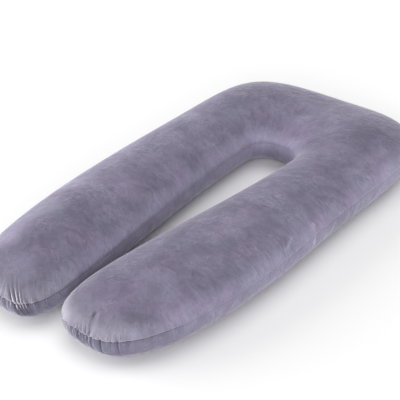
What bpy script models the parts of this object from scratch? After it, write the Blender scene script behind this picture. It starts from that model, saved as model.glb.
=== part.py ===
"""U-shaped body pillow: two long velvet panels sewn edge to edge and filled, lying flat.

Metres, +Z up. The head bend points to +Y, the open ends of the two legs to -Y, and the right leg
lies at +X. The origin is on the floor, under the middle of the pillow's box. It is one closed body:
the seam round the whole edge draws the sides in, and gathers the cloth where it turns round a leg's end.
"""

import bmesh
import bpy
import numpy as np

# Sizes along the pillow, measured from the right leg's end. The head bend reaches further on the right.
HEAD_TOP = 1.4640
HEAD_TILT = 0.045
SLOT_TOP = 1.092
SHOULDER = 1.023
KNEE = 0.438

# The seam's outline: distance of each leg's edges from the middle line at three places.
RIGHT_EDGES = {
    "outer": {"end": 0.280, "knee": 0.385, "shoulder": 0.367},
    "inner": {"end": 0.024, "knee": 0.038, "shoulder": 0.086},
}
LEFT_EDGES = {
    "outer": {"end": 0.283, "knee": 0.362, "shoulder": 0.374},
    "inner": {"end": -0.004, "knee": 0.036, "shoulder": 0.086},
}
# How far a leg's end lies beyond the right leg's, and how far its inner corner leads its outer one.
RIGHT_END = {"reach": -0.001, "slant": -0.002}
LEFT_END = {"reach": 0.029, "slant": 0.007}
RIGHT_BEND_SQUARENESS = 3.5
LEFT_BEND_SQUARENESS = 3.48
INNER_BEND_SQUARENESS = 2.26

# Leg ends: how far back the rounding goes, and how far the crown line stops short of the end.
END_ROUNDING = 0.25
END_SQUARENESS = 3.53
CROWN_STOPS_SHORT = 0.19
CROWN_CURVE = 1.3

# Section across a leg.
HEIGHT = 0.1755
SEAM_HEIGHT = 0.1015
SEAM_HEIGHT_AT_END = 0.090
SEAM_SAG_LENGTH = 0.44
END_FULLNESS = 0.90
END_SLACK_LENGTH = 0.34
TOP_SQUARENESS = 1.83
UNDERSIDE_SQUARENESS = 2.65
UNDERSIDE_PRESS = 1.06
SEAM_GROOVE_DEPTH = 0.007
SEAM_GROOVE_DEPTH_ON_LEGS = 0.0035
SEAM_GROOVE_REACH = 0.006
SEAM_DEEP_TO = 0.24
SEAM_SHALLOW_FROM = 0.34

# Where the filling stands higher or lower than the even crown: place, lift and spread of each.
SWELL_COLUMNS = ("across", "along", "lift", "spread")
SWELLS = (
    (-0.06, 1.30, -0.023, 0.14),
    (-0.25, 1.23, 0.017, 0.12),
    (0.25, 1.24, 0.006, 0.12),
)

# Rows of points across each panel, as shares of the panel's rise or drop from the seam.
TOP_ROWS = (0.08, 0.21, 0.40, 0.60, 0.77, 0.89, 0.96, 0.99)
UNDERSIDE_ROWS = (0.06, 0.17, 0.36, 0.58, 0.78, 0.90, 1 / UNDERSIDE_PRESS)

# Points along the seam of half the pillow.
GATHER_STEP = 0.007
GATHER_STRETCH = 0.14
END_STATIONS = 6
LEG_STATIONS = 14
BEND_STATIONS = 14
OUTLINE_SAMPLES = 2000
SAME_POINT = 1e-6

# Gathers at the leg ends: place along the seam from the middle of the end (outer side positive),
# height of the ridge or depth of the tuck, half width, reach above and below the seam, and the lean.
GATHER_COLUMNS = ("place", "rise", "half_width", "reach_up", "reach_down", "lean")
RIGHT_GATHERS = (
    (-0.072, -0.0040, 0.008, 0.020, 0.030, 0.0),
    (-0.050, 0.0030, 0.009, 0.030, 0.030, 0.0),
    (-0.028, 0.0025, 0.008, 0.034, 0.030, 0.0),
    (0.006, -0.0050, 0.008, 0.040, 0.048, 0.3),
    (0.021, 0.0035, 0.008, 0.036, 0.046, 0.3),
    (0.036, -0.0050, 0.008, 0.044, 0.048, 0.2),
    (0.053, -0.0040, 0.008, 0.070, 0.020, 0.2),
    (0.071, -0.0050, 0.008, 0.016, 0.044, 0.0),
    (0.092, 0.0030, 0.009, 0.040, 0.022, 0.0),
    (0.117, -0.0040, 0.009, 0.030, 0.040, 0.0),
)
LEFT_GATHERS = (
    (-0.121, 0.0040, 0.009, 0.045, 0.045, -0.25),
    (-0.107, -0.0050, 0.008, 0.050, 0.050, -0.25),
    (-0.093, 0.0045, 0.008, 0.052, 0.050, -0.25),
    (-0.079, -0.0055, 0.008, 0.050, 0.054, -0.25),
    (-0.063, 0.0040, 0.009, 0.054, 0.034, -0.2),
    (-0.046, -0.0035, 0.008, 0.044, 0.030, 0.0),
    (-0.022, 0.0030, 0.009, 0.038, 0.028, 0.0),
    (0.012, -0.0040, 0.009, 0.040, 0.034, 0.0),
    (0.044, 0.0030, 0.009, 0.034, 0.030, 0.1),
    (0.070, -0.0040, 0.009, 0.038, 0.034, 0.1),
    (0.100, 0.0030, 0.009, 0.034, 0.030, 0.1),
)

VELVET_COLOUR = (0.283, 0.266, 0.366, 1.0)
VELVET_ROUGHNESS = 0.9


def clear_scene():
    for thing in list(bpy.data.objects):
        bpy.data.objects.remove(thing)


def leg_edge(edge, along):
    """Distance of a leg's edge from the middle line: a cubic through its three sizes, level at the shoulder."""
    shoulder = edge["shoulder"]
    knee_share = (SHOULDER - KNEE) / SHOULDER
    terms = np.array([[1.0, 1.0], [knee_share**2, knee_share**3]])
    bow = np.linalg.solve(terms, [edge["end"] - shoulder, edge["knee"] - shoulder])
    share = (SHOULDER - np.maximum(along, 0.0)) / SHOULDER
    return shoulder + bow[0] * share**2 + bow[1] * share**3


def rounded_corner(side, top, squareness, turn, tilt=0.0):
    """A squared quarter ellipse from the shoulder's edge up to the middle of the head bend, tilted."""
    across = side * np.cos(turn) ** (2 / squareness)
    along = SHOULDER + (top + tilt * across - SHOULDER) * np.sin(turn) ** (2 / squareness)
    return np.stack([across, along], axis=1)


def spread_out(path, values, distances):
    """The values, given at a path's points, at distances along it that a function of its length names."""
    travelled = distance_along(path)
    return np.interp(distances(travelled[-1]), travelled, values)


def end_path(edges, end, turn):
    """The seam round a leg's end, outer and inner half, and the crown line inside it."""
    back = np.cos(turn) ** (2 / END_SQUARENESS)
    share = np.sin(turn) ** (2 / END_SQUARENESS)
    along = END_ROUNDING * (1 - back) - end["reach"]
    corner = end["slant"] * back * share
    outer, inner = (leg_edge(edges[name], along) for name in ("outer", "inner"))
    middle = (outer + inner) / 2
    half = (outer - inner) / 2
    crown_along = along + CROWN_STOPS_SHORT * back**CROWN_CURVE
    crown_across = (leg_edge(edges["outer"], crown_along) + leg_edge(edges["inner"], crown_along)) / 2
    return {
        "outer": np.stack([middle + half * share, along + corner], axis=1),
        "inner": np.stack([middle - half * share, along - corner], axis=1),
        "crown": np.stack([crown_across, crown_along], axis=1),
    }


def end_turns(edges, end):
    """Turns round a leg's end: close together over the gathers, wider apart behind them."""
    dense = np.linspace(0.0, np.pi / 2, OUTLINE_SAMPLES)
    gathered = np.arange(0.0, GATHER_STRETCH, GATHER_STEP)

    def distances(whole):
        return np.r_[gathered, np.linspace(GATHER_STRETCH, whole, END_STATIONS)]

    return spread_out(end_path(edges, end, dense)["outer"], dense, distances)


def bend_turns(side, squareness, tilt):
    dense = np.linspace(0.0, np.pi / 2, OUTLINE_SAMPLES)
    path = rounded_corner(side, HEAD_TOP, squareness, dense, tilt)
    return spread_out(path, dense, lambda whole: np.linspace(0.0, whole, BEND_STATIONS + 1))[1:]


def half_outline(edges, end, squareness, tilt):
    """Outer seam, inner seam and crown line of one leg, from its end to the middle of the head bend."""
    leg_end = end_path(edges, end, end_turns(edges, end))
    along = np.linspace(END_ROUNDING - end["reach"], SHOULDER, LEG_STATIONS + 1)[1:]
    leg = {name: np.stack([leg_edge(edges[name], along), along], axis=1) for name in edges}
    turn = bend_turns(edges["outer"]["shoulder"], squareness, tilt)
    bend = {
        "outer": rounded_corner(edges["outer"]["shoulder"], HEAD_TOP, squareness, turn, tilt),
        "inner": rounded_corner(edges["inner"]["shoulder"], SLOT_TOP, INNER_BEND_SQUARENESS, turn),
    }
    lines = {name: np.concatenate([leg_end[name], leg[name], bend[name]]) for name in edges}
    crown_behind = (lines["outer"] + lines["inner"])[len(leg_end["crown"]):] / 2
    lines["crown"] = np.concatenate([leg_end["crown"], crown_behind])
    return lines


def distance_along(line):
    return np.r_[0.0, np.cumsum(np.linalg.norm(np.diff(line, axis=0), axis=1))]


def gathers_at(table, place, above, below):
    """How far the gathers lift or tuck the cloth at a place along the seam, above or below it."""
    lift = np.zeros_like(above)
    for row in table:
        gather = dict(zip(GATHER_COLUMNS, row))
        centre = gather["place"] + gather["lean"] * (below - above)
        across = np.exp(-(((place - centre) / gather["half_width"]) ** 2))
        away = np.exp(-((above / gather["reach_up"]) ** 2) - (below / gather["reach_down"]) ** 2)
        lift += gather["rise"] * across * away
    return lift


def swell_at(crown):
    """How far the filling lifts the crown line above its even height at a place in plan."""
    lift = 0.0
    for row in SWELLS:
        swell = dict(zip(SWELL_COLUMNS, row))
        distance = np.hypot(crown[0] - swell["across"], crown[1] - swell["along"])
        lift += swell["lift"] * np.exp(-((distance / swell["spread"]) ** 2))
    return lift


def groove_at(place):
    """How deep the seam is drawn in: deepest round a leg's end, shallower where the filling presses it out."""
    deep = np.clip((SEAM_SHALLOW_FROM - abs(place)) / (SEAM_SHALLOW_FROM - SEAM_DEEP_TO), 0.0, 1.0)
    return SEAM_GROOVE_DEPTH_ON_LEGS + (SEAM_GROOVE_DEPTH - SEAM_GROOVE_DEPTH_ON_LEGS) * deep


def panel(shares, squareness, reach, panel_height, groove_depth, lift_at):
    """Points of one panel from the seam inwards: distance out from the crown line, and off the seam's level."""
    across = (1 - shares**squareness) ** (1 / squareness)
    out = across * reach
    off = shares * panel_height
    from_seam = np.r_[0.0, np.cumsum(np.hypot(np.diff(out), np.diff(off)))]
    normal = np.stack([across ** (squareness - 1) / reach, shares ** (squareness - 1) / panel_height])
    normal /= np.linalg.norm(normal, axis=0)
    groove = groove_depth * np.exp(-((from_seam / SEAM_GROOVE_REACH) ** 2))
    lift = lift_at(from_seam) - groove
    return out + normal[0] * lift, off + normal[1] * lift


def column(seam, crown, place, set_back, gathers):
    """Points from the crown line down over the seam to the underside, for one place on the seam."""
    sag = max(0.0, 1 - set_back / SEAM_SAG_LENGTH) ** 2
    slack = max(0.0, 1 - set_back / END_SLACK_LENGTH) ** 2
    seam_height = SEAM_HEIGHT + (SEAM_HEIGHT_AT_END - SEAM_HEIGHT) * sag
    rise = (HEIGHT - seam_height) * (1 - (1 - END_FULLNESS) * slack) + swell_at(crown)
    drop = seam_height * UNDERSIDE_PRESS
    reach = np.linalg.norm(seam - crown)
    outward = (seam - crown) / reach

    def above(distance):
        return gathers_at(gathers, place, distance, np.zeros_like(distance))

    def below(distance):
        return gathers_at(gathers, place, np.zeros_like(distance), distance)

    groove = groove_at(place)
    top_out, top_off = panel(np.array((0.0, *TOP_ROWS)), TOP_SQUARENESS, reach, rise, groove, above)
    low_out, low_off = panel(np.array((0.0, *UNDERSIDE_ROWS)), UNDERSIDE_SQUARENESS, reach, drop, groove, below)
    out = np.r_[0.0, top_out[::-1], low_out[1:]]
    height = np.r_[seam_height + rise, seam_height + top_off[::-1], seam_height - low_off[1:]]
    return [(*(crown + outward * o), max(h, 0.0)) for o, h in zip(out, height)]


def ring(outer_column, inner_column, crown):
    """One closed section: over the outer seam, under, and back up over the inner seam."""
    under_middle = (crown[0], crown[1], 0.0)
    return outer_column + [under_middle] + inner_column[:0:-1]


def leg_rings(edges, end, squareness, gathers, side):
    """Sections of one leg from its end to the middle of the head bend; side is 1 right, -1 left."""
    outline = half_outline(edges, end, squareness, side * HEAD_TILT)
    lines = {name: line * (side, 1) for name, line in outline.items()}
    outer_place = distance_along(lines["outer"])
    inner_place = -distance_along(lines["inner"])
    rings = []
    for index, crown in enumerate(lines["crown"]):
        set_back = lines["outer"][index, 1] - lines["outer"][0, 1]
        outer = column(lines["outer"][index], crown, outer_place[index], set_back, gathers)
        inner = column(lines["inner"][index], crown, inner_place[index], set_back, gathers)
        rings.append(ring(outer, inner, crown))
    return rings


def velvet():
    material = bpy.data.materials.new("velvet")
    material.use_nodes = True
    shader = material.node_tree.nodes["Principled BSDF"]
    shader.inputs["Base Color"].default_value = VELVET_COLOUR
    shader.inputs["Roughness"].default_value = VELVET_ROUGHNESS
    shader.inputs["Metallic"].default_value = 0.0
    return material


def skin(rings):
    """One closed mesh through the sections, with the doubled section at each leg's end merged."""
    shape = bmesh.new()
    loops = [[shape.verts.new(place) for place in places] for places in rings]
    for first, second in zip(loops, loops[1:]):
        for index, corner in enumerate(first):
            following = (index + 1) % len(first)
            shape.faces.new((corner, second[index], second[following], first[following]))
    bmesh.ops.remove_doubles(shape, verts=shape.verts, dist=SAME_POINT)
    bmesh.ops.recalc_face_normals(shape, faces=shape.faces)
    low = np.min([vertex.co for vertex in shape.verts], axis=0)
    high = np.max([vertex.co for vertex in shape.verts], axis=0)
    middle = (low + high) / 2
    bmesh.ops.translate(shape, verts=shape.verts, vec=(-middle[0], -middle[1], 0.0))
    mesh = bpy.data.meshes.new("pillow")
    shape.to_mesh(mesh)
    shape.free()
    mesh.shade_smooth()
    return mesh


def make_pillow():
    right = leg_rings(RIGHT_EDGES, RIGHT_END, RIGHT_BEND_SQUARENESS, RIGHT_GATHERS, 1)
    left = leg_rings(LEFT_EDGES, LEFT_END, LEFT_BEND_SQUARENESS, LEFT_GATHERS, -1)
    mesh = skin(left + right[::-1][1:])
    mesh.materials.append(velvet())
    pillow = bpy.data.objects.new("pillow", mesh)
    bpy.context.scene.collection.objects.link(pillow)


def main():
    clear_scene()
    make_pillow()


main()
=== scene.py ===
"""U-shaped body pillow in crushed velvet, on a plain pale floor in soft studio light.

Laid out as an add-on and run as a script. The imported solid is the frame; one padded piece stands for it:
two velvet panels sewn edge to edge, filled, gathered round the leg ends and creased where they were pressed.
Metres, +Z up. The head bend points to +Y and the right leg lies at +X.
"""

import math

import bpy
import numpy as np
from bpy.props import FloatProperty, FloatVectorProperty, IntProperty, PointerProperty
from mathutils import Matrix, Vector


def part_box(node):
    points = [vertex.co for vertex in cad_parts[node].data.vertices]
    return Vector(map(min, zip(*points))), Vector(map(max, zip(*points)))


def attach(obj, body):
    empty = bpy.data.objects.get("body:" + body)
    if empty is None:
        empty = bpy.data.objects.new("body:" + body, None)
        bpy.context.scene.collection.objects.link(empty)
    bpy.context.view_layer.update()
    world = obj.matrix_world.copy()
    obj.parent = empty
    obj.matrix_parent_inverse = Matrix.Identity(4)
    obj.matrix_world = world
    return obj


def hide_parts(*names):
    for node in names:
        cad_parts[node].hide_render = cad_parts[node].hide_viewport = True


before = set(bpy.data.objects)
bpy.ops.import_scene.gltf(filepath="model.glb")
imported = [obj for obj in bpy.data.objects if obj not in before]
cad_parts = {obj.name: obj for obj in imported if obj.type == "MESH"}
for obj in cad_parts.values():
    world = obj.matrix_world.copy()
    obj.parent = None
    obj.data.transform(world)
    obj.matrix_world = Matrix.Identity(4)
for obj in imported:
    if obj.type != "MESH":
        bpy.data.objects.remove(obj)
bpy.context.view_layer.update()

NODE = "pillow"

bl_info = {
    "name": "Velvet Body Pillow",
    "version": (1, 0, 0),
    "blender": (4, 5, 0),
    "location": "3D View > Sidebar > Pillow",
    "description": "Sews and fills a U-shaped velvet body pillow and sets it on a pale floor",
    "category": "Object",
}

# Cut of the panels, measured along the pillow from the right leg's end and across from its middle line.
HEAD_TOP = 1.4640
HEAD_TILT = 0.045
SLOT_TOP = 1.092
SHOULDER = 1.023
KNEE = 0.438
LEGS = {
    "right": {
        "side": 1,
        "outer": {"end": 0.280, "knee": 0.385, "shoulder": 0.367},
        "inner": {"end": 0.024, "knee": 0.038, "shoulder": 0.086},
        "reach": -0.001,
        "slant": -0.002,
        "bend_squareness": 3.5,
    },
    "left": {
        "side": -1,
        "outer": {"end": 0.283, "knee": 0.362, "shoulder": 0.374},
        "inner": {"end": -0.004, "knee": 0.036, "shoulder": 0.086},
        "reach": 0.029,
        "slant": 0.007,
        "bend_squareness": 3.48,
    },
}
INNER_BEND_SQUARENESS = 2.26
END_ROUNDING = 0.25
END_SQUARENESS = 3.53
CROWN_STOPS_SHORT = 0.19
CROWN_CURVE = 1.3

# Section of the filled pillow: the seam sags and the filling slackens toward the leg ends.
SEAM_HEIGHT_AT_END = 0.090
SEAM_SAG_LENGTH = 0.44
END_FULLNESS = 0.90
END_SLACK_LENGTH = 0.34
TOP_SQUARENESS = 1.83
UNDERSIDE_SQUARENESS = 2.65
UNDERSIDE_PRESS = 1.06

# Where the filling stands higher or lower than its even height.
SWELL_COLUMNS = ("across", "along", "lift", "spread")
SWELLS = (
    (-0.06, 1.30, -0.023, 0.14),
    (-0.25, 1.23, 0.017, 0.12),
    (0.25, 1.24, 0.006, 0.12),
)

# Spacing of the mesh before it is subdivided once.
GATHER_STEP = 0.0042
GATHER_STRETCH = 0.20
CLOTH_STEP = 0.0128
UNDERSIDE_STEP = 0.020
NEAR_SEAM = (0.0, 0.003, 0.006, 0.010, 0.015, 0.022, 0.032)
FLAT_SHARES = (0.68, 0.34)
TOP_LAST_SHARE = 0.995
TYPICAL_REACH = 0.165
DENSE = 2000

# Kept at every point: distance along the seam from the middle of the leg's end (outer side positive), the
# same taken evenly over both sides, distance from the seam (upper panel positive), and how far the rows
# have spread.
ATTRIBUTES = ("along_seam", "along_leg", "from_seam", "spread")

# Kept as well once the cloth is folded. A fold of the height named here counts as 1.
FOLD_ATTRIBUTES = ("seam_shows", "fold", "rippled", "brushed")
FOLD_SCALE = 0.004

# Cloth of the panels while it is filled.
CLOTH = {
    "quality": 6,
    "mass": 0.25,
    "tension_stiffness": 18,
    "compression_stiffness": 18,
    "shear_stiffness": 6,
    "bending_stiffness": 0.05,
}

# The seam shows plainly as far as "to" from the middle of a leg's end, less and less up to "from", and
# "least" beyond it. Its section is a soft hollow with a sharp line in it, the upper panel's roll and the
# lower one's step back, each at its distance from the seam.
SEAM_SHOWS = {"from": 0.34, "to": 0.24, "least": 0.30}
HOLLOW = {"share": 0.55, "width": 0.0075}
SEWN_LINE = {"share": 0.45, "width": 0.0022}
ROLL = {"off": 0.009, "width": 0.0055}
SET_BACK = {"off": -0.007, "width": 0.007}

# Gathers round the leg ends: place along the seam from the middle of the end (outer side positive), height
# of the fold (negative is a tuck), its half width, its reach above and below the seam, and how far it
# leans there.
GATHER_COLUMNS = ("place", "rise", "half_width", "reach_up", "reach_down", "lean_up", "lean_down")
GATHERS = {
    "right": (
        (-0.078, -0.0034, 0.0050, 0.018, 0.028, 0.0, 0.0),
        (-0.067, 0.0026, 0.0040, 0.020, 0.020, 0.0, 0.0),
        (-0.057, -0.0022, 0.0040, 0.022, 0.026, 0.0, 0.0),
        (-0.042, 0.0018, 0.0050, 0.026, 0.022, 0.0, 0.0),
        (-0.012, -0.0042, 0.0040, 0.012, 0.052, 0.85, 0.5),
        (0.002, -0.0038, 0.0034, 0.030, 0.040, 0.75, 0.4),
        (0.0085, 0.0034, 0.0030, 0.020, 0.040, 0.75, 0.4),
        (0.014, -0.0036, 0.0030, 0.030, 0.036, 0.65, 0.3),
        (0.0205, 0.0036, 0.0030, 0.022, 0.030, 0.65, 0.3),
        (0.027, -0.0042, 0.0034, 0.040, 0.020, 0.5, 0.15),
        (0.034, 0.0036, 0.0028, 0.030, 0.020, 0.45, 0.1),
        (0.0400, -0.0034, 0.0034, 0.056, 0.034, 0.5, 0.15),
        (0.052, 0.0014, 0.0042, 0.048, 0.028, 0.45, 0.1),
        (0.068, -0.0050, 0.0038, 0.010, 0.044, 0.1, 0.1),
        (0.090, 0.0018, 0.0034, 0.034, 0.016, 0.0, 0.0),
        (0.0975, -0.0016, 0.0034, 0.034, 0.016, 0.0, 0.0),
        (0.105, 0.0018, 0.0034, 0.034, 0.016, 0.0, 0.0),
        (0.117, -0.0040, 0.0036, 0.016, 0.034, 0.1, 0.1),
        (0.124, 0.0018, 0.0036, 0.034, 0.024, 0.0, 0.0),
        (0.146, -0.0014, 0.0060, 0.030, 0.026, 0.0, 0.0),
    ),
    "left": (
        (-0.140, -0.0020, 0.0060, 0.030, 0.036, -0.3, -0.3),
        (-0.126, 0.0022, 0.0050, 0.034, 0.036, -0.3, -0.3),
        (-0.113, -0.0026, 0.0040, 0.030, 0.048, -0.3, -0.3),
        (-0.1042, 0.0048, 0.0027, 0.026, 0.018, -0.30, -0.35),
        (-0.1005, -0.0056, 0.0025, 0.040, 0.050, -0.30, -0.35),
        (-0.0968, 0.0064, 0.0029, 0.044, 0.020, -0.30, -0.35),
        (-0.0927, -0.0062, 0.0026, 0.042, 0.042, -0.36, -0.35),
        (-0.0886, 0.0066, 0.0030, 0.048, 0.016, -0.42, -0.4),
        (-0.0832, -0.0070, 0.0031, 0.050, 0.050, -0.54, -0.4),
        (-0.0778, 0.0066, 0.0032, 0.040, 0.020, -0.64, -0.4),
        (-0.0700, -0.0066, 0.0045, 0.044, 0.046, -0.64, -0.4),
        (-0.0600, 0.0024, 0.0040, 0.044, 0.034, -0.64, -0.4),
        (-0.046, 0.0018, 0.0040, 0.050, 0.032, -0.3, -0.3),
        (-0.037, -0.0018, 0.0045, 0.044, 0.034, -0.2, -0.2),
        (-0.026, 0.0022, 0.0040, 0.048, 0.026, -0.1, -0.1),
        (-0.014, -0.0024, 0.0045, 0.040, 0.036, 0.0, 0.0),
        (0.003, 0.0018, 0.0050, 0.036, 0.028, 0.0, 0.0),
        (0.024, -0.0032, 0.0050, 0.040, 0.034, 0.0, 0.0),
        (0.038, 0.0022, 0.0050, 0.036, 0.030, 0.1, 0.1),
        (0.060, -0.0024, 0.0055, 0.036, 0.034, 0.1, 0.1),
        (0.084, 0.0018, 0.0055, 0.030, 0.030, 0.1, 0.1),
    ),
}

# Single soft creases: both ends on the pillow, half width and depth (negative) or height.
CREASE_COLUMNS = ("start", "end", "half_width", "rise")
CREASES = (
    ((0.184, -0.706, 0.104), (0.163, -0.672, 0.133), 0.0054, -0.0058),
    ((0.196, -0.704, 0.106), (0.176, -0.668, 0.136), 0.0075, 0.0022),
    ((0.352, 0.040, 0.128), (0.374, 0.022, 0.080), 0.0085, 0.0034),
    ((0.357, 0.058, 0.124), (0.375, 0.038, 0.080), 0.0085, -0.0018),
    ((0.367, -0.109, 0.125), (0.352, -0.060, 0.136), 0.007, 0.0022),
)

# Places where the nap is pressed into short creases side by side: middle, radius and how strongly it shows.
RIPPLE_COLUMNS = ("place", "radius", "strength")
RIPPLES = (
    ((0.224, -0.008, 0.175), 0.050, 1.0),
    ((0.160, 0.090, 0.168), 0.044, 0.8),
    ((0.206, 0.157, 0.175), 0.030, 0.8),
    ((0.267, 0.161, 0.170), 0.038, 1.0),
    ((0.332, 0.128, 0.146), 0.030, 0.8),
    ((0.359, 0.201, 0.114), 0.034, 0.8),
    ((0.368, -0.100, 0.123), 0.048, 1.0),
    ((0.368, -0.190, 0.124), 0.036, 0.7),
    ((0.340, 0.350, 0.136), 0.044, 0.8),
    ((-0.223, -0.305, 0.175), 0.056, 1.0),
    ((-0.187, -0.261, 0.175), 0.044, 1.0),
    ((-0.267, -0.066, 0.171), 0.044, 0.8),
    ((-0.185, -0.568, 0.169), 0.036, 0.8),
    ((-0.215, -0.614, 0.160), 0.030, 0.8),
)

# Soft patches made lighter (positive) or darker, partly the pile's own uneven tone and partly painted light
# and
# shade: middle, radius and tone.
TONE_AND_PAINTED_LIGHT_COLUMNS = ("place", "radius", "tone")
TONE_AND_PAINTED_LIGHT = (
    ((-0.275, -0.571, 0.148), 0.070, 0.28),
    ((-0.290, -0.506, 0.149), 0.060, 0.38),
    ((-0.296, -0.404, 0.155), 0.050, 0.26),
    ((-0.318, -0.279, 0.151), 0.060, 0.50),
    ((0.324, 0.078, 0.150), 0.032, 0.16),
    ((0.342, -0.147, 0.144), 0.036, 0.14),
    ((-0.321, -0.180, 0.153), 0.055, 0.28),
    ((-0.313, -0.108, 0.159), 0.050, 0.14),
    ((-0.314, -0.016, 0.159), 0.050, 0.30),
    ((0.337, -0.012, 0.146), 0.055, 0.28),
    ((0.156, 0.242, 0.165), 0.050, 0.20),
    ((0.207, 0.028, 0.175), 0.050, 0.18),
    ((0.300, -0.520, 0.146), 0.050, 0.16),
    ((0.334, 0.314, 0.141), 0.070, 0.14),
    ((0.329, 0.466, 0.143), 0.060, 0.20),
    ((0.250, 0.273, 0.173), 0.050, -0.32),
    ((0.229, 0.426, 0.177), 0.050, -0.20),
    ((0.274, 0.061, 0.169), 0.035, -0.16),
    ((0.254, -0.612, 0.145), 0.035, -0.06),
    ((0.300, -0.600, 0.124), 0.035, -0.06),
    ((0.365, -0.404, 0.109), 0.035, -0.18),
    ((0.375, -0.050, 0.078), 0.050, -0.16),
    ((0.360, 0.189, 0.066), 0.050, -0.14),
    ((-0.175, -0.560, 0.170), 0.075, -0.22),
    ((-0.186, -0.365, 0.175), 0.060, -0.16),
    ((-0.316, 0.245, 0.159), 0.050, 0.28),
    ((-0.245, -0.612, 0.155), 0.040, 0.42),
    ((-0.258, -0.452, 0.164), 0.045, 0.26),
    ((0.214, 0.505, 0.177), 0.065, -0.32),
    ((0.300, -0.612, 0.108), 0.035, -0.15),
    ((0.333, -0.556, 0.071), 0.035, -0.18),
    ((0.232, -0.702, 0.082), 0.028, 0.16),
)

# Tone of the nap, from dark pile at 0 to light pile at 1: what it starts from and what each effect adds,
# painted light and shade among them.
BASE_TONE = 0.05
TONES = {
    # Painted light: the nap made lighter near the seam, where the flanks face the soft lights.
    "painted_flank_light": 0.42,
    "patches": 0.19,
    "marks": 0.15,
    "crinkles": 0.16,
    "streaks": 0.05,
    # Ripples: light and dark lines on the pressed nap, partly its own tone and partly painted light and
    # shade.
    "ripples": 0.21,
    "gathers": 0.34,
    # Painted light and shade: the fold's crests made lighter and its tucks darker, on the gathers and
    # creases.
    "fold": 0.30,
    # Patches that are partly the pile's own tone and partly painted light and shade.
    "brushed": 1.0,
}

# How far each effect stands out of the nap, as a share of the crush depth.
HEIGHTS = {"marks": 0.34, "crinkles": 0.10, "streaks": 0.06, "ripples": 0.11, "gathers": 0.9, "pile": 0.05}

# Where each tone comes in and where it is full, in metres from the seam, along it or across the pillow, or
# as a height of the fold; most of them place painted light and shade.
RANGES = {
    "painted_flank_light": (0.07, 0.01),
    "lower_panel": (0.0008, -0.0008),
    "round_end": (0.34, 0.06),
    # The band by the seam that takes the painted sheen and shade of the leg ends.
    "pulled": (0.15, 0.02),
    # The next four place the painted highlight on the inner half of the right leg's end, by the seam.
    "painted_light_starts": (-0.035, -0.070),
    "painted_light_ends": (-0.17, -0.12),
    "right_leg": (0.0, 0.01),
    "painted_light_band": (0.055, 0.010),
    # Painted shade on the lower panel: full within 8 cm of the middle of a leg's end, gone at 26 cm.
    "low_end": (0.26, 0.08),
    # Heights of the fold where its painted highlight and painted shade come in and are full.
    "crest": (0.3, 1.3),
    "tuck": (-0.25, -1.2),
    # Where the painted highlight on the upper panel's lip starts and ends above the seam.
    "lip_starts": (0.0012, 0.0026),
    "lip_ends": (0.0070, 0.0036),
    # The sewn line's own dark and painted shade: full at the seam, gone 2.2 mm from it.
    "dark_seam_and_shade": (0.0022, 0.0006),
}
# Strengths of the painted light and shade: the first darkens the lower panel by the seam; corner, crest and
# lip lay the painted highlight; tuck lays painted shade and the last darkens the sewn line.
STRENGTHS = {"painted_underside_shade": -0.45, "corner": 0.36, "crest": 0.85, "tuck": 0.8, "lip": 0.30, "dark_seam_and_shade": 0.6}
NAP_ROUGHNESS = {"dark": 0.92, "change": -0.16}
FLOOR_TONE = {"low": 0.985, "scale": 1.4, "roughness": 0.85, "change": 0.05, "specular": 0.1}

LIGHTS = (
    ("Front softbox", (1.40, -2.42, 1.13), "front_power"),
    ("Left softbox", (-2.48, -1.43, 0.93), "left_power"),
    ("Overhead softbox", (0.0, 0.0, 3.0), "overhead_power"),
)


def named_rows(columns, table):
    return [dict(zip(columns, row)) for row in table]


def leg_edge(edge, along):
    """Distance of a leg's edge from the middle line: a cubic through three sizes, level at the shoulder."""
    shoulder = edge["shoulder"]
    knee_share = (SHOULDER - KNEE) / SHOULDER
    terms = np.array([[1.0, 1.0], [knee_share**2, knee_share**3]])
    bow = np.linalg.solve(terms, [edge["end"] - shoulder, edge["knee"] - shoulder])
    share = (SHOULDER - np.maximum(along, 0.0)) / SHOULDER
    return shoulder + bow[0] * share**2 + bow[1] * share**3


def rounded_corner(side, top, squareness, turn, tilt=0.0):
    """A squared quarter ellipse from the shoulder's edge up to the middle of the head bend, tilted."""
    across = side * np.cos(turn) ** (2 / squareness)
    along = SHOULDER + (top + tilt * across - SHOULDER) * np.sin(turn) ** (2 / squareness)
    return np.stack([across, along], axis=1)


def distance_along(line):
    return np.r_[0.0, np.cumsum(np.linalg.norm(np.diff(line, axis=0), axis=1))]


def end_path(leg, turn):
    """The seam round a leg's end, outer and inner half, and the crown line inside it."""
    back = np.cos(turn) ** (2 / END_SQUARENESS)
    share = np.sin(turn) ** (2 / END_SQUARENESS)
    along = END_ROUNDING * (1 - back) - leg["reach"]
    corner = leg["slant"] * back * share
    outer, inner = (leg_edge(leg[name], along) for name in ("outer", "inner"))
    middle = (outer + inner) / 2
    half = (outer - inner) / 2
    crown_along = along + CROWN_STOPS_SHORT * back**CROWN_CURVE
    crown_across = (leg_edge(leg["outer"], crown_along) + leg_edge(leg["inner"], crown_along)) / 2
    return {
        "outer": np.stack([middle + half * share, along + corner], axis=1),
        "inner": np.stack([middle - half * share, along - corner], axis=1),
        "crown": np.stack([crown_across, crown_along], axis=1),
    }


def turns_at(path_of, distances):
    """Turns of a path at distances along it that a function of its whole length names."""
    dense = np.linspace(0.0, np.pi / 2, DENSE)
    travelled = distance_along(path_of(dense))
    return np.interp(distances(travelled[-1]), travelled, dense)


def steps(start, stop, step):
    return np.linspace(start, stop, max(2, round((stop - start) / step) + 1))


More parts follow.
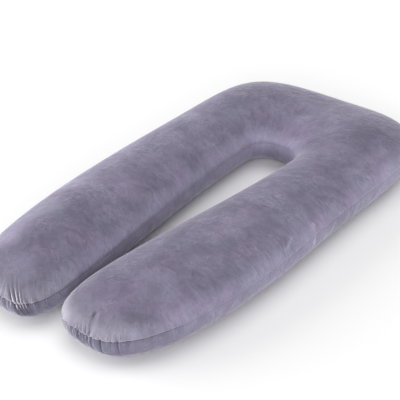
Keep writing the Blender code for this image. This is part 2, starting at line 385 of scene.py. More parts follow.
def leg_lines(leg):
    """Outer seam, inner seam and crown line of one leg, from its end to the middle of the head bend."""
    def end_distances(whole):
        return np.r_[np.arange(0.0, GATHER_STRETCH, GATHER_STEP), steps(GATHER_STRETCH, whole, CLOTH_STEP)]

    def bend_distances(whole):
        return steps(0.0, whole, CLOTH_STEP)[1:]

    def outer_bend(turn):
        tilt = leg["side"] * HEAD_TILT
        return rounded_corner(leg["outer"]["shoulder"], HEAD_TOP, leg["bend_squareness"], turn, tilt)

    ends = end_path(leg, turns_at(lambda turn: end_path(leg, turn)["outer"], end_distances))
    along = steps(END_ROUNDING - leg["reach"], SHOULDER, CLOTH_STEP)[1:]
    turn = turns_at(outer_bend, bend_distances)
    bend = {
        "outer": outer_bend(turn),
        "inner": rounded_corner(leg["inner"]["shoulder"], SLOT_TOP, INNER_BEND_SQUARENESS, turn),
    }
    lines = {}
    for name in ("outer", "inner"):
        straight = np.stack([leg_edge(leg[name], along), along], axis=1)
        lines[name] = np.concatenate([ends[name], straight, bend[name]])
    behind = (lines["outer"] + lines["inner"])[len(ends["crown"]):] / 2
    lines["crown"] = np.concatenate([ends["crown"], behind])
    return {name: line * (leg["side"], 1) for name, line in lines.items()}


def swell_at(crown):
    """How far the filling lifts the crown line above its even height at a place in plan."""
    lift = 0.0
    for swell in named_rows(SWELL_COLUMNS, SWELLS):
        distance = np.hypot(crown[0] - swell["across"], crown[1] - swell["along"])
        lift += swell["lift"] * np.exp(-((distance / swell["spread"]) ** 2))
    return lift


def quarter_section(squareness, reach, height):
    """Shares of the height and distances from the seam along a quarter of a typical section."""
    turn = np.linspace(0.0, np.pi / 2, DENSE)
    share = np.sin(turn) ** (2 / squareness)
    across = np.cos(turn) ** (2 / squareness)
    return share, distance_along(np.stack([across * reach, share * height], axis=1))


def row_shares(squareness, height, last_share, step):
    """Shares of the height for rows of points close together at the seam and a step apart behind it."""
    share, travelled = quarter_section(squareness, TYPICAL_REACH, height)
    last = np.interp(last_share, share, travelled)
    rows = np.r_[NEAR_SEAM, steps(NEAR_SEAM[-1], last, step)[1:]]
    return np.interp(rows, travelled, share)


def column(seam, crown, set_back, size, shares):
    """Points from the crown line over the seam to the flat underside, and how far each is from the seam."""
    sag = max(0.0, 1 - set_back / SEAM_SAG_LENGTH) ** 2
    slack = max(0.0, 1 - set_back / END_SLACK_LENGTH) ** 2
    seam_height = size.seam_height + (SEAM_HEIGHT_AT_END - size.seam_height) * sag
    rise = (size.crown_height - seam_height) * (1 - (1 - END_FULLNESS) * slack) + swell_at(crown)
    reach = np.linalg.norm(seam - crown)
    outward = (seam - crown) / reach
    top = np.stack([(1 - shares["top"] ** TOP_SQUARENESS) ** (1 / TOP_SQUARENESS) * reach,
                    seam_height + shares["top"] * rise], axis=1)
    low_across = (1 - shares["low"] ** UNDERSIDE_SQUARENESS) ** (1 / UNDERSIDE_SQUARENESS) * reach
    low = np.stack([low_across, seam_height * (1 - shares["low"] * UNDERSIDE_PRESS)], axis=1)
    flat = np.array([(low_across[-1] * share, 0.0) for share in FLAT_SHARES])
    line = np.concatenate([[(0.0, seam_height + rise)], top[::-1], low[1:], flat])
    line[:, 1] = np.maximum(line[:, 1], 0.0)
    travelled = distance_along(line)
    from_seam = travelled[len(top)] - travelled
    in_plan = crown + line[:, :1] * outward
    return np.column_stack([in_plan, line[:, 1]]), from_seam


def leg_sections(leg, size, shares):
    """Closed sections of one leg: places, then the values of ATTRIBUTES, point by point."""
    lines = leg_lines(leg)
    distances = {name: distance_along(line) for name, line in lines.items()}
    along_leg = (distances["outer"] + distances["inner"]) / 2
    sections = []
    for index, crown in enumerate(lines["crown"]):
        set_back = lines["outer"][index, 1] - lines["outer"][0, 1]
        halves = {}
        for name, sign in (("outer", 1), ("inner", -1)):
            places, from_seam = column(lines[name][index], crown, set_back, size, shares)
            crowding = np.gradient(distances["crown"])[index] / np.gradient(distances[name])[index]
            spread = crowding + (1 - crowding) * np.clip(1 - from_seam / from_seam[0], 0.0, 1.0)
            along_seam = sign * distances[name][index]
            halves[name] = np.column_stack([places, np.full((len(places), 2), (along_seam, along_leg[index])),
                                            from_seam, spread])
        under = [crown[0], crown[1], 0.0, 0.0, *halves["outer"][-1, 4:]]
        sections.append(np.vstack([halves["outer"], under, halves["inner"][:0:-1]]))
    return sections


def sewn_grid(size):
    """The pillow's skin as points with their seam distances, and quads that close over both leg ends."""
    rise, drop = size.crown_height - size.seam_height, size.seam_height * UNDERSIDE_PRESS
    shares = {
        "top": row_shares(TOP_SQUARENESS, rise, TOP_LAST_SHARE, CLOTH_STEP),
        "low": row_shares(UNDERSIDE_SQUARENESS, drop, 1 / UNDERSIDE_PRESS, UNDERSIDE_STEP),
    }
    left, right = (leg_sections(LEGS[name], size, shares) for name in ("left", "right"))
    sections = left + right[::-1][1:]
    count = len(sections[0])
    under = count // 2
    indices = np.arange(len(sections) * count).reshape(len(sections), count)
    for end in (0, -1):
        indices[end, under + 1:] = indices[end, 1:under][::-1]
    points = np.concatenate(sections)
    first, second = indices[:-1], indices[1:]
    quads = np.stack([first, second, np.roll(second, -1, axis=1), np.roll(first, -1, axis=1)], axis=2)
    used, quads = np.unique(quads.reshape(-1, 4), return_inverse=True)
    return points[used], quads.reshape(-1, 4)


def write_attribute(mesh, name, values):
    layer = mesh.attributes.get(name) or mesh.attributes.new(name, "FLOAT", "POINT")
    layer.data.foreach_set("value", values.astype(np.float32))


def mesh_of(points, quads):
    """A mesh whose points keep the values of ATTRIBUTES, with the seam creased."""
    mesh = bpy.data.meshes.new("body_pillow")
    mesh.from_pydata(points[:, :3].tolist(), [], quads.tolist())
    for name, values in zip(ATTRIBUTES, points[:, 3:].T):
        write_attribute(mesh, name, values)
    on_seam = points[:, 3 + ATTRIBUTES.index("from_seam")] == 0.0
    ends = np.empty(len(mesh.edges) * 2, np.int32)
    mesh.edges.foreach_get("vertices", ends)
    crease = mesh.attributes.new("crease_edge", "FLOAT", "EDGE")
    crease.data.foreach_set("value", on_seam[ends.reshape(-1, 2)].all(axis=1).astype(np.float32))
    mesh.shade_smooth()
    return mesh


def read_triples(items, name):
    values = np.empty(len(items) * 3, np.float32)
    items.foreach_get(name, values)
    return values.reshape(-1, 3).astype(float)


def read_points(mesh):
    return read_triples(mesh.vertices, "co")


def read_attribute(mesh, name):
    values = np.empty(len(mesh.vertices), np.float32)
    mesh.attributes[name].data.foreach_get("value", values)
    return values.astype(float)


def write_points(mesh, points):
    mesh.vertices.foreach_set("co", points.astype(np.float32).ravel())
    mesh.update()


def lay_in_box(points):
    """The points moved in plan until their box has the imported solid's middle."""
    low, high = (np.array(corner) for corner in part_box(NODE))
    shift = (low + high) / 2 - (points[:, :3].min(axis=0) + points[:, :3].max(axis=0)) / 2
    points[:, :2] += shift[:2]
    return points


def select_only(piece):
    bpy.ops.object.select_all(action="DESELECT")
    piece.select_set(True)
    bpy.context.view_layer.objects.active = piece


def inflate(piece, size):
    """Fills the sewn skin: cloth under pressure, held at the seam and the floor, and swelling only so far."""
    mesh = piece.data
    start = read_points(mesh)
    held = piece.vertex_groups.new(name="held")
    from_seam = read_attribute(mesh, "from_seam")
    still = np.where((from_seam == 0.0) | (start[:, 2] < size.floor_strip))[0]
    held.add(still.tolist(), 1.0, "REPLACE")
    modifier = piece.modifiers.new("Cloth", "CLOTH")
    cloth = modifier.settings
    for name, value in CLOTH.items():
        setattr(cloth, name, value)
    cloth.use_pressure = True
    cloth.uniform_pressure_force = size.pressure
    cloth.shrink_min = -size.spare_cloth
    cloth.vertex_group_mass = "held"
    cloth.effector_weights.gravity = 0.0
    modifier.collision_settings.use_collision = False
    for number in range(1, size.fill_frames + 1):
        bpy.context.scene.frame_set(number)
    filled = piece.evaluated_get(bpy.context.evaluated_depsgraph_get())
    move = read_points(filled.data) - start
    length = np.linalg.norm(move, axis=1, keepdims=True)
    capped = size.swell_cap * np.tanh(length / size.swell_cap)
    piece.modifiers.remove(modifier)
    piece.vertex_groups.remove(held)
    bpy.context.scene.frame_set(1)
    write_points(mesh, start + move * capped / np.maximum(length, 1e-9))


def subdivide_once(piece):
    finer = piece.modifiers.new("Finer", "SUBSURF")
    finer.levels = finer.render_levels = 1
    select_only(piece)
    bpy.ops.object.modifier_apply(modifier=finer.name)


def bump(distance, width):
    return np.exp(-((distance / width) ** 2))


def seam_shows(along):
    """1 where the seam shows plainly, and less past the leg's end, where the filling presses it flat."""
    share = np.clip((np.abs(along) - SEAM_SHOWS["from"]) / (SEAM_SHOWS["to"] - SEAM_SHOWS["from"]), 0.0, 1.0)
    return SEAM_SHOWS["least"] + (1 - SEAM_SHOWS["least"]) * share**2 * (3 - 2 * share)


def seam_profile(from_seam, size):
    """The sewn line drawn in, the upper panel rolled out over it and the lower one set back under it."""
    off = np.abs(from_seam)
    hollow = HOLLOW["share"] * bump(off, HOLLOW["width"])
    line = SEWN_LINE["share"] * np.exp(-off / SEWN_LINE["width"])
    roll = size.seam_roll * bump(from_seam - ROLL["off"], ROLL["width"])
    set_back = size.seam_set_back * bump(from_seam - SET_BACK["off"], SET_BACK["width"])
    return roll - set_back - size.seam_depth * (hollow + line)


def gather_lift(table, along, from_seam):
    """Height of the gathers of one leg's end at each point."""
    above = np.maximum(from_seam, 0.0)
    below = np.maximum(-from_seam, 0.0)
    lift = np.zeros(len(along))
    for gather in named_rows(GATHER_COLUMNS, table):
        centre = gather["place"] + gather["lean_down"] * below - gather["lean_up"] * above
        reach = bump(above, gather["reach_up"]) * bump(below, gather["reach_down"])
        lift += gather["rise"] * bump(along - centre, gather["half_width"]) * reach
    return lift


def crease_lift(points):
    """Height of the single soft creases at each point."""
    lift = np.zeros(len(points))
    for crease in named_rows(CREASE_COLUMNS, CREASES):
        start, end = np.array(crease["start"]), np.array(crease["end"])
        span = end - start
        share = np.clip((points - start) @ span / (span @ span), 0.0, 1.0)
        distance = np.linalg.norm(points - start - share[:, None] * span, axis=1)
        lift += crease["rise"] * bump(distance, crease["half_width"])
    return lift


def ripples_at(points):
    """How strongly the nap is rippled at each point, from 0 to 1."""
    shown = np.zeros(len(points))
    for ripple in named_rows(RIPPLE_COLUMNS, RIPPLES):
        distance = np.linalg.norm(points - ripple["place"], axis=1)
        shown = np.maximum(shown, ripple["strength"] * bump(distance, ripple["radius"]))
    return shown


def tone_and_painted_light_at(points):
    """How much lighter each point is made, darker where negative: pile tone and painted light and shade."""
    tone = np.zeros(len(points))
    for patch in named_rows(TONE_AND_PAINTED_LIGHT_COLUMNS, TONE_AND_PAINTED_LIGHT):
        tone += patch["tone"] * bump(np.linalg.norm(points - patch["place"], axis=1), patch["radius"])
    return tone


def fold_cloth(piece, size):
    """Raises the seam, the gathers and the creases in the subdivided cloth."""
    mesh = piece.data
    points, normals = read_points(mesh), read_triples(mesh.vertex_normals, "vector")
    along, from_seam = read_attribute(mesh, "along_seam"), read_attribute(mesh, "from_seam")
    shows = seam_shows(along)
    folds = size.crease_strength * crease_lift(points)
    for name, leg in LEGS.items():
        on_leg = points[:, 0] * leg["side"] > 0
        folds += size.gather_strength * gather_lift(GATHERS[name], along, from_seam) * on_leg
    kept = (shows, folds / FOLD_SCALE, ripples_at(points), tone_and_painted_light_at(points))
    for name, values in zip(FOLD_ATTRIBUTES, kept):
        write_attribute(mesh, name, values)
    lift = folds + seam_profile(from_seam, size) * shows
    points = points + normals * lift[:, None]
    points[:, 2] = np.maximum(points[:, 2], 0.0)
    write_points(mesh, points)


def finish_piece(piece):
    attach(piece, "root")
    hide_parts(NODE)


# Materials: small helpers, then the shared effects as node groups, then the finishes.

FLOAT, VECTOR = "NodeSocketFloat", "NodeSocketVector"


def new_group(name, inputs, outputs):
    """A node group, with what its inputs give and its outputs take; inputs are (name, type, default)."""
    tree = bpy.data.node_groups.new(name, "ShaderNodeTree")
    for socket_name, kind, default in inputs:
        socket = tree.interface.new_socket(socket_name, in_out="INPUT", socket_type=kind)
        if default is not None:
            socket.default_value = default
    for socket_name in outputs:
        tree.interface.new_socket(socket_name, in_out="OUTPUT", socket_type=FLOAT)
    return tree, tree.nodes.new("NodeGroupInput").outputs, tree.nodes.new("NodeGroupOutput").inputs


def add_node(tree, kind, values=(), **settings):
    """A node with its settings, and its inputs fed by the (socket, value or output) pairs."""
    node = tree.nodes.new(kind)
    for name, value in settings.items():
        setattr(node, name, value)
    for socket, value in values:
        if isinstance(value, bpy.types.NodeSocket):
            tree.links.new(value, node.inputs[socket])
        else:
            node.inputs[socket].default_value = value
    return node


def math_node(tree, operation, first, second=0.0):
    return add_node(tree, "ShaderNodeMath", ((0, first), (1, second)), operation=operation).outputs[0]


def product(tree, first, *others):
    for other in others:
        first = math_node(tree, "MULTIPLY", first, other)
    return first


def size_of(tree, value):
    return math_node(tree, "ABSOLUTE", value)


def vector_node(tree, operation, values):
    return add_node(tree, "ShaderNodeVectorMath", values, operation=operation).outputs[0]


def noise(tree, vector, scale, detail, roughness=0.5, distortion=0.0, **more):
    """A noise texture's outputs; more holds the fourth dimension's place, where it has one."""
    pairs = (("Vector", vector), ("Scale", scale), ("Detail", detail), ("Roughness", roughness),
             ("Distortion", distortion), *more.items())
    dimensions = "4D" if more else "3D"
    return add_node(tree, "ShaderNodeTexNoise", pairs, noise_dimensions=dimensions).outputs


def ramp(tree, value, low, high):
    """0 below low and 1 above high, smooth between."""
    pairs = (("Value", value), ("From Min", low), ("From Max", high))
    return add_node(tree, "ShaderNodeMapRange", pairs, interpolation_type="SMOOTHSTEP").outputs["Result"]


def weighted(tree, start, terms, clamp=False):
    """The sum of a start value and each value times its weight."""
    total = start
    for number, (value, weight) in enumerate(terms, 1):
        pairs = ((0, value), (1, weight), (2, total))
        total = add_node(tree, "ShaderNodeMath", pairs, operation="MULTIPLY_ADD",
                         use_clamp=clamp and number == len(terms)).outputs[0]
    return total


def mix_colour(tree, share, first, second, blend="MIX"):
    pairs = ((0, share), (6, first), (7, second))
    return add_node(tree, "ShaderNodeMix", pairs, data_type="RGBA", blend_type=blend).outputs[2]


def pile_lean_group():
    """Which way the pile leans: broad soft patches, smaller crush marks in them, and a drift in tint."""
    tree, given, result = new_group(
        "Pile lean",
        (("Vector", VECTOR, None), ("Patch Scale", FLOAT, 8.0), ("Mark Scale", FLOAT, 30.0),
         ("Warp", FLOAT, 0.04)),
        ("Patches", "Marks", "Tint"),
    )
    drift = noise(tree, given["Vector"], 9.0, 2.0)
    centred = vector_node(tree, "SUBTRACT", ((0, drift["Color"]), (1, (0.5, 0.5, 0.5))))
    shift = vector_node(tree, "SCALE", ((0, centred), ("Scale", given["Warp"])))
    place = vector_node(tree, "ADD", ((0, given["Vector"]), (1, shift)))
    patches = noise(tree, place, given["Patch Scale"], 3.0, 0.55)
    marks = noise(tree, place, given["Mark Scale"], 3.0, 0.6, 0.7)
    tree.links.new(ramp(tree, patches["Fac"], 0.34, 0.66), result["Patches"])
    tree.links.new(ramp(tree, marks["Fac"], 0.30, 0.70), result["Marks"])
    tree.links.new(ramp(tree, drift["Fac"], 0.35, 0.65), result["Tint"])
    return tree


def hoop_noise(tree, place, along, round_scale, along_scale):
    """Uneven streaks from -1 to 1 that run round the legs, longer the smaller round_scale is."""
    round_legs = vector_node(tree, "SCALE", ((0, place), ("Scale", round_scale)))
    streaks = noise(tree, round_legs, 1.0, 1.0, W=product(tree, along, along_scale))
    return weighted(tree, -1.0, ((ramp(tree, streaks["Fac"], 0.3, 0.7), 2.0),))


def hoop_crease_group():
    """Marks that run round the filled legs: soft streaks, and groups of short ripples side by side."""
    tree, given, result = new_group(
        "Hoop creases",
        (("Vector", VECTOR, None), ("Along", FLOAT, 0.0), ("Spread", FLOAT, 1.0), ("Rippled", FLOAT, 0.0),
         ("Scattered", FLOAT, 0.28), ("Wobble", FLOAT, 0.035), ("Ripples Along", FLOAT, 165.0),
         ("Ripples Round", FLOAT, 44.0), ("Streaks Along", FLOAT, 62.0), ("Streaks Round", FLOAT, 26.0)),
        ("Ripples", "Streaks"),
    )
    drift = noise(tree, given["Vector"], 16.0, 2.0)
    wobble = product(tree, math_node(tree, "SUBTRACT", drift["Fac"], 0.5), given["Wobble"])
    along = math_node(tree, "ADD", given["Along"], wobble)
    where = noise(tree, given["Vector"], 21.0, 1.0)
    scattered = product(tree, ramp(tree, where["Fac"], 0.50, 0.66), given["Scattered"])
    side_by_side = ramp(tree, given["Spread"], 0.4, 0.85)
    mask = product(tree, math_node(tree, "MAXIMUM", scattered, given["Rippled"]), side_by_side)
    ripples = hoop_noise(tree, given["Vector"], along, given["Ripples Round"], given["Ripples Along"])
    streaks = hoop_noise(tree, given["Vector"], along, given["Streaks Round"], given["Streaks Along"])
    tree.links.new(product(tree, ripples, mask), result["Ripples"])
    tree.links.new(product(tree, streaks, side_by_side), result["Streaks"])
    return tree


def crinkle_group():
    """Fine crinkles in the nap: thin wandering lines, in loose groups with plain nap between."""
    tree, given, result = new_group(
        "Crinkles",
        (("Vector", VECTOR, None), ("Scale", FLOAT, 58.0), ("Group Scale", FLOAT, 15.0),
         ("Width", FLOAT, 0.055)),
        ("Lines",),
    )
    field = noise(tree, given["Vector"], given["Scale"], 2.0, 0.55, 0.6)
    off = size_of(tree, math_node(tree, "SUBTRACT", field["Fac"], 0.5))
    where = noise(tree, given["Vector"], given["Group Scale"], 1.0)
    grouped = ramp(tree, where["Fac"], 0.42, 0.62)
    tree.links.new(product(tree, ramp(tree, off, given["Width"], 0.0), grouped), result["Lines"])
    return tree


def seam_gather_group():
    """Fine gathers that run in from the seam, strongest at the sewn line and round the leg's end."""
    tree, given, result = new_group(
        "Seam gathers",
        (("Along", FLOAT, 0.0), ("From Seam", FLOAT, 0.0), ("Pitch", FLOAT, 0.0052), ("Drift", FLOAT, 11.0),
         ("Reach", FLOAT, 0.040), ("Stretch", FLOAT, 0.2), ("Elsewhere", FLOAT, 0.2)),
        ("Ridges",),
    )
    across = math_node(tree, "DIVIDE", given["Along"], given["Pitch"])
    into = product(tree, given["From Seam"], given["Drift"])
    place = add_node(tree, "ShaderNodeCombineXYZ", (("X", across), ("Y", into)))
    folds = noise(tree, place.outputs[0], 1.0, 1.0, 0.4)
    near = ramp(tree, size_of(tree, given["From Seam"]), given["Reach"], 0.0)
    full = product(tree, given["Stretch"], 0.4)
    end = ramp(tree, size_of(tree, given["Along"]), given["Stretch"], full)
    more = math_node(tree, "SUBTRACT", 1.0, given["Elsewhere"])
    strength = math_node(tree, "ADD", product(tree, end, more), given["Elsewhere"])
    centred = math_node(tree, "SUBTRACT", ramp(tree, folds["Fac"], 0.3, 0.7), 0.5)
    tree.links.new(product(tree, centred, near, strength), result["Ridges"])
    return tree


def cut_pile_group():
    """The fuzz of the cut pile, too fine to count."""
    inputs = (("Vector", VECTOR, None), ("Scale", FLOAT, 600.0))
    tree, given, result = new_group("Cut pile", inputs, ("Height",))
    tree.links.new(noise(tree, given["Vector"], given["Scale"], 2.0, 0.7)["Fac"], result["Height"])
    return tree


def place_group(tree, group, pairs):
    return add_node(tree, "ShaderNodeGroup", pairs, node_tree=group).outputs


def velvet_material(name, finish, groups):
    """Crushed velvet: the pile's lean gives light and dark patches, its tips catch light at the edges, and
    light and shade are painted into its colour by the seam, on the folds and round the leg ends.
    """
    material = bpy.data.materials.new(name)
    material.use_nodes = True
    tree = material.node_tree
    shader = tree.nodes["Principled BSDF"]
    shader.inputs["Metallic"].default_value = 0.0
    shader.inputs["Specular IOR Level"].default_value = finish.specular
    shader.inputs["Sheen Weight"].default_value = finish.sheen
    shader.inputs["Sheen Roughness"].default_value = finish.sheen_roughness
    shader.inputs["Sheen Tint"].default_value = (*finish.sheen_colour, 1.0)
    place = tree.nodes.new("ShaderNodeTexCoord").outputs["Object"]
    across = add_node(tree, "ShaderNodeSeparateXYZ", ((0, place),)).outputs["X"]
    kept = {
        attribute: add_node(tree, "ShaderNodeAttribute", attribute_name=attribute).outputs["Fac"]
        for attribute in (*ATTRIBUTES, *FOLD_ATTRIBUTES)
    }
    lean = place_group(tree, groups["lean"], (("Vector", place),))
    creases = place_group(tree, groups["creases"],
                          (("Vector", place), ("Along", kept["along_leg"]), ("Spread", kept["spread"]),
                           ("Rippled", kept["rippled"])))
    gathers = place_group(tree, groups["gathers"],
                          (("Along", kept["along_seam"]), ("From Seam", kept["from_seam"])))
    crinkles = place_group(tree, groups["crinkles"], (("Vector", place),))
    pile = place_group(tree, groups["pile"], (("Vector", place),))

    def within(value, zone):
        return ramp(tree, value, *RANGES[zone])

    off = size_of(tree, kept["from_seam"])
    from_end = size_of(tree, kept["along_seam"])
    below = within(kept["from_seam"], "lower_panel")
    # Painted shade: the lower panel keeps less of the painted light where the seam shows.
    painted_underside_shade = product(tree, below, kept["seam_shows"], STRENGTHS["painted_underside_shade"])
    effects = {
        # Painted light: lighter within 7 cm of the seam, less so on the lower panel.
        "painted_flank_light": product(tree, within(off, "painted_flank_light"), math_node(tree, "ADD", painted_underside_shade, 1.0)),
        "patches": lean["Patches"],
        "marks": lean["Marks"],
        "crinkles": crinkles["Lines"],
        "streaks": creases["Streaks"],
        "ripples": creases["Ripples"],
        "gathers": gathers["Ridges"],
        "fold": kept["fold"],
        "brushed": kept["brushed"],
        "pile": pile["Height"],
    }
    share = weighted(tree, BASE_TONE, [(effects[name], weight) for name, weight in TONES.items()], clamp=True)
    colour = mix_colour(tree, share, (*finish.dark_pile, 1.0), (*finish.light_pile, 1.0))
    tint = mix_colour(tree, lean["Tint"], (*finish.cool_tint, 1.0), (*finish.warm_tint, 1.0))
    colour = mix_colour(tree, 1.0, colour, tint, blend="MULTIPLY")

    round_end = within(from_end, "round_end")
    # Painted highlight on the inner half of the right leg's end, by the seam, where the left light grazes.
    corner = product(tree, within(kept["along_seam"], "painted_light_starts"),
                     within(kept["along_seam"], "painted_light_ends"), within(across, "right_leg"),
                     within(off, "painted_light_band"), STRENGTHS["corner"])
    # Painted highlight on the crests of the gathers and creases, and painted shade in their tucks.
    crest = product(tree, within(kept["fold"], "crest"), STRENGTHS["crest"])
    tuck = product(tree, within(kept["fold"], "tuck"), STRENGTHS["tuck"])
    # Painted highlight along the upper panel's rolled lip, just above the seam round the leg ends.
    lip = product(tree, within(kept["from_seam"], "lip_starts"), within(kept["from_seam"], "lip_ends"),
                  round_end, STRENGTHS["lip"])
    # The sewn line's own dark, with painted shade in its groove.
    dark_seam_and_shade = product(tree, within(off, "dark_seam_and_shade"), kept["seam_shows"], STRENGTHS["dark_seam_and_shade"])
    layers = (
        # Painted sheen and shade: the cloth by the seam round the leg ends made greyer and darker.
        (product(tree, round_end, within(off, "pulled")), finish.painted_end_sheen_and_shade, "MULTIPLY"),
        (corner, finish.painted_highlight, "MIX"),
        # Painted shade on the lower panel round the leg ends.
        (product(tree, below, within(from_end, "low_end")), finish.painted_low_shade, "MULTIPLY"),
        (crest, finish.painted_highlight, "MIX"),
        (tuck, finish.seam_shadow, "MIX"),
        (lip, finish.painted_highlight, "MIX"),
        (dark_seam_and_shade, finish.seam_shadow, "MIX"),
    )
    for mask, layer_colour, blend in layers:
        colour = mix_colour(tree, mask, colour, (*layer_colour, 1.0), blend)
    tree.links.new(colour, shader.inputs["Base Color"])
    roughness = weighted(tree, NAP_ROUGHNESS["dark"], ((share, NAP_ROUGHNESS["change"]),))
    tree.links.new(roughness, shader.inputs["Roughness"])

    height = weighted(tree, 0.0, [(effects[name], weight) for name, weight in HEIGHTS.items()])
    bumped = add_node(tree, "ShaderNodeBump",
                      (("Strength", 1.0), ("Distance", finish.crush_depth), ("Height", height)))
    tree.links.new(bumped.outputs[0], shader.inputs["Normal"])
    return material


def floor_material(stage):
    """Pale matt paper, faintly uneven in tone."""
    material = bpy.data.materials.new("Pale floor")
    material.use_nodes = True
    tree = material.node_tree
    shader = tree.nodes["Principled BSDF"]
    shader.inputs["Specular IOR Level"].default_value = FLOOR_TONE["specular"]
    place = tree.nodes.new("ShaderNodeTexCoord").outputs["Object"]
    tone = noise(tree, place, FLOOR_TONE["scale"], 2.0)["Fac"]
    low = tuple(FLOOR_TONE["low"] * value for value in stage.floor_colour)
    colour = mix_colour(tree, tone, (*low, 1.0), (*stage.floor_colour, 1.0))
    tree.links.new(colour, shader.inputs["Base Color"])
    roughness = weighted(tree, FLOOR_TONE["roughness"], ((tone, FLOOR_TONE["change"]),))
    tree.links.new(roughness, shader.inputs["Roughness"])
    return material


class PillowShape(bpy.types.PropertyGroup):
    """Sizes of the sewn and filled pillow."""

    crown_height: FloatProperty(
        name="Crown height", description="Height of the filled crown", default=0.1755, unit="LENGTH",
    )
    seam_height: FloatProperty(
        name="Seam height", description="Height of the seam beside the legs",
        default=0.1015, unit="LENGTH",
    )
    floor_strip: FloatProperty(
        name="Floor contact", description="Height below which the cloth is pressed flat",
        default=0.0005, unit="LENGTH",
    )
    seam_depth: FloatProperty(
        name="Seam depth", description="How far the sewn line is drawn in",
        default=0.0065, unit="LENGTH",
    )
    seam_roll: FloatProperty(
        name="Seam roll", description="How far the upper panel stands out over the seam",
        default=0.0018, unit="LENGTH",
    )
    seam_set_back: FloatProperty(
        name="Lower set-back", description="How far the lower panel sits back",
        default=0.0010, unit="LENGTH",
    )
    pressure: FloatProperty(
        name="Filling pressure", description="Pressure of the filling on the cloth", default=4.0,
    )
    spare_cloth: FloatProperty(
        name="Spare cloth", description="Cloth beyond the filled shape, as a share",
        default=0.03, subtype="FACTOR",
    )
    swell_cap: FloatProperty(
        name="Swelling limit", description="Furthest the filling moves the cloth",
        default=0.006, unit="LENGTH",
    )
    fill_frames: IntProperty(
        name="Filling steps", description="Steps that the filling takes to settle", default=20,
    )
    gather_strength: FloatProperty(
        name="Gathers", description="Strength of the gathers at the leg ends", default=1.0,
    )
    crease_strength: FloatProperty(
        name="Creases", description="Strength of the single soft creases", default=1.0,
    )


class VelvetFinish(bpy.types.PropertyGroup):
    """Colours and nap of the velvet, the colours of its painted light and shade among them."""

    dark_pile: FloatVectorProperty(
        name="Dark pile", description="Colour where the pile leans away",
        subtype="COLOR", default=(0.135, 0.120, 0.174), min=0.0, max=1.0,
    )
    light_pile: FloatVectorProperty(
        name="Light pile", description="Colour where the pile leans to the light",
        subtype="COLOR", default=(0.352, 0.323, 0.440), min=0.0, max=1.0,
    )
    cool_tint: FloatVectorProperty(
        name="Cool tint", description="Tint of the bluer patches",
        subtype="COLOR", default=(0.965, 1.0, 1.0), min=0.0, max=1.0,
    )
    warm_tint: FloatVectorProperty(
        name="Warm tint", description="Tint of the redder patches",
        subtype="COLOR", default=(1.0, 0.96, 1.0), min=0.0, max=1.0,
    )
    # Painted sheen and shade: the cloth near the seam round the leg ends made greyer, as the grazing light's
    # sheen shows it, and darker.
    painted_end_sheen_and_shade: FloatVectorProperty(
        name="Painted end sheen and shade", description="Tint of the cloth pulled over a leg's end",
        subtype="COLOR", default=(0.86, 0.88, 0.80), min=0.0, max=1.0,
    )
    # Painted shade: darkens the lower panel round the leg ends, which faces down, away from the lights.
    painted_low_shade: FloatVectorProperty(
        name="Painted lower shade", description="Tint of the lower panel at the leg ends",
        subtype="COLOR", default=(0.70, 0.72, 0.77), min=0.0, max=1.0,
    )
    # Painted highlight: laid on the crests of the gathers and creases, on the upper panel's lip over the seam
    # and on the inner half of the right leg's end.
    painted_highlight: FloatVectorProperty(
        name="Painted highlight", description="Colour on the sharp edges of the gathers",
        subtype="COLOR", default=(0.76, 0.74, 0.79), min=0.0, max=1.0,
    )
    # Painted shade, with the sewn line's own dark: laid in the sewn line and in the tucks of the gathers and
    # creases.
    seam_shadow: FloatVectorProperty(
        name="Seam shadow", description="Colour in the sewn line",
        subtype="COLOR", default=(0.06, 0.055, 0.08), min=0.0, max=1.0,
    )
    sheen_colour: FloatVectorProperty(
        name="Sheen colour", description="Colour of the pile's tips at the edges",
        subtype="COLOR", default=(0.86, 0.84, 0.96), min=0.0, max=1.0,
    )
    sheen: FloatProperty(
        name="Sheen", description="Strength of the light on the pile's tips", default=0.7,
    )
    sheen_roughness: FloatProperty(
        name="Sheen softness", description="How far the sheen spreads", default=0.35,
    )
    specular: FloatProperty(
        name="Gloss", description="Strength of the gloss under the sheen", default=0.12,
    )
    crush_depth: FloatProperty(
        name="Crush depth", description="Depth of the crush marks", default=0.004, unit="LENGTH",
    )
    fill: FloatProperty(
        name="Fill", description="How tightly the pillow is filled", default=0.85, subtype="FACTOR",
    )


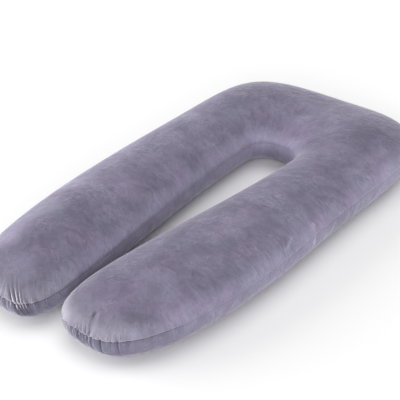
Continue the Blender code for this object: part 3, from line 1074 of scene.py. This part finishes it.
class StudioStage(bpy.types.PropertyGroup):
    """Floor, light and camera."""

    floor_colour: FloatVectorProperty(
        name="Floor colour", description="Colour of the pale floor",
        subtype="COLOR", default=(0.95, 0.95, 0.95), min=0.0, max=1.0,
    )
    floor_size: FloatProperty(
        name="Floor size", description="Length of the floor's sides", default=60.0, unit="LENGTH",
    )
    front_power: FloatProperty(
        name="Front light", description="Strength of the soft light by the camera", default=2.4,
    )
    left_power: FloatProperty(
        name="Left light", description="Strength of the soft light on the left", default=2.0,
    )
    overhead_power: FloatProperty(
        name="Overhead light", description="Strength of the soft light overhead", default=1.0,
    )
    softness: FloatProperty(
        name="Light size", description="Angle that each soft light spans, from the pillow",
        default=math.radians(50), subtype="ANGLE",
    )
    sky: FloatProperty(
        name="Even light", description="Strength of the even light all round", default=0.3,
    )
    azimuth: FloatProperty(
        name="Camera azimuth", description="Camera's turn round the pillow",
        default=math.radians(40.1), subtype="ANGLE",
    )
    elevation: FloatProperty(
        name="Camera elevation", description="Camera's angle above the floor",
        default=math.radians(33.136), subtype="ANGLE",
    )
    distance: FloatProperty(
        name="Camera distance", description="Camera's distance from what it looks at",
        default=3.8756, unit="LENGTH",
    )
    field_of_view: FloatProperty(
        name="Field of view", description="Camera's angle of view",
        default=math.radians(18.0), subtype="ANGLE",
    )
    target: FloatVectorProperty(
        name="Target", description="Place that the camera looks at",
        subtype="XYZ", default=(-0.0323, -0.0108, 0.078),
    )


class PILLOW_OT_sew(bpy.types.Operator):
    """Sew the two velvet panels, fill them, and fold the cloth at the seam and the leg ends"""

    bl_idname = "pillow.sew"
    bl_label = "Sew and Fill Pillow"

    def execute(self, context):
        size, finish = context.scene.pillow_shape, context.scene.pillow_velvet
        points, quads = sewn_grid(size)
        piece = bpy.data.objects.new("velvet_pillow", mesh_of(lay_in_box(points), quads))
        context.scene.collection.objects.link(piece)
        select_only(piece)
        bpy.ops.object.mode_set(mode="EDIT")
        bpy.ops.mesh.select_all(action="SELECT")
        bpy.ops.mesh.normals_make_consistent(inside=False)
        bpy.ops.object.mode_set(mode="OBJECT")
        inflate(piece, size)
        subdivide_once(piece)
        fold_cloth(piece, size)
        groups = {
            "lean": pile_lean_group(),
            "creases": hoop_crease_group(),
            "crinkles": crinkle_group(),
            "gathers": seam_gather_group(),
            "pile": cut_pile_group(),
        }
        piece.data.materials.append(velvet_material("Velvet", finish, groups))
        finish_piece(piece)
        return {"FINISHED"}


class PILLOW_OT_stage(bpy.types.Operator):
    """Lay the pale floor, hang the soft studio lights and set up the camera"""

    bl_idname = "pillow.stage"
    bl_label = "Set Floor, Lights and Camera"

    def execute(self, context):
        stage = context.scene.pillow_stage
        bpy.ops.object.select_all(action="DESELECT")
        bpy.ops.mesh.primitive_plane_add(size=stage.floor_size)
        floor = context.object
        floor.name = "studio_floor"
        floor.data.materials.append(floor_material(stage))
        for name, place, power in LIGHTS:
            lamp = bpy.data.lights.new(name, "SUN")
            lamp.angle = stage.softness
            lamp.energy = getattr(stage, power)
            light = bpy.data.objects.new(name, lamp)
            light.location = place
            light.rotation_euler = Vector(place).to_track_quat("Z", "Y").to_euler()
            context.scene.collection.objects.link(light)
        world = bpy.data.worlds.new("Studio")
        world.use_nodes = True
        background = world.node_tree.nodes["Background"]
        background.inputs["Color"].default_value = (1.0, 1.0, 1.0, 1.0)
        background.inputs["Strength"].default_value = stage.sky
        context.scene.world = world
        context.scene.view_settings.view_transform = "Standard"
        back = Vector((
            math.sin(stage.azimuth) * math.cos(stage.elevation),
            -math.cos(stage.azimuth) * math.cos(stage.elevation),
            math.sin(stage.elevation),
        ))
        camera = bpy.data.cameras.new("Camera")
        camera.angle = stage.field_of_view
        view = bpy.data.objects.new("Camera", camera)
        view.location = Vector(stage.target) + back * stage.distance
        view.rotation_euler = back.to_track_quat("Z", "Y").to_euler()
        context.scene.collection.objects.link(view)
        context.scene.camera = view
        return {"FINISHED"}


class PILLOW_PT_panel(bpy.types.Panel):
    """Lists the two steps, with the sizes and colours that each uses"""

    bl_label = "Velvet Body Pillow"
    bl_idname = "PILLOW_PT_panel"
    bl_space_type = "VIEW_3D"
    bl_region_type = "UI"
    bl_category = "Pillow"

    def draw(self, context):
        for operator, group in ((PILLOW_OT_sew, "pillow_shape"), (None, "pillow_velvet"),
                                (PILLOW_OT_stage, "pillow_stage")):
            if operator:
                self.layout.operator(operator.bl_idname)
            settings = getattr(context.scene, group)
            for name in settings.__annotations__:
                self.layout.prop(settings, name)


SETTINGS = {"pillow_shape": PillowShape, "pillow_velvet": VelvetFinish, "pillow_stage": StudioStage}
CLASSES = (*SETTINGS.values(), PILLOW_OT_sew, PILLOW_OT_stage, PILLOW_PT_panel)


def register():
    for item in CLASSES:
        bpy.utils.register_class(item)
    for name, group in SETTINGS.items():
        setattr(bpy.types.Scene, name, PointerProperty(type=group))


def unregister():
    for name in SETTINGS:
        delattr(bpy.types.Scene, name)
    for item in reversed(CLASSES):
        bpy.utils.unregister_class(item)


def main():
    register()
    bpy.ops.pillow.sew()
    bpy.ops.pillow.stage()


if __name__ == "__main__":
    main()
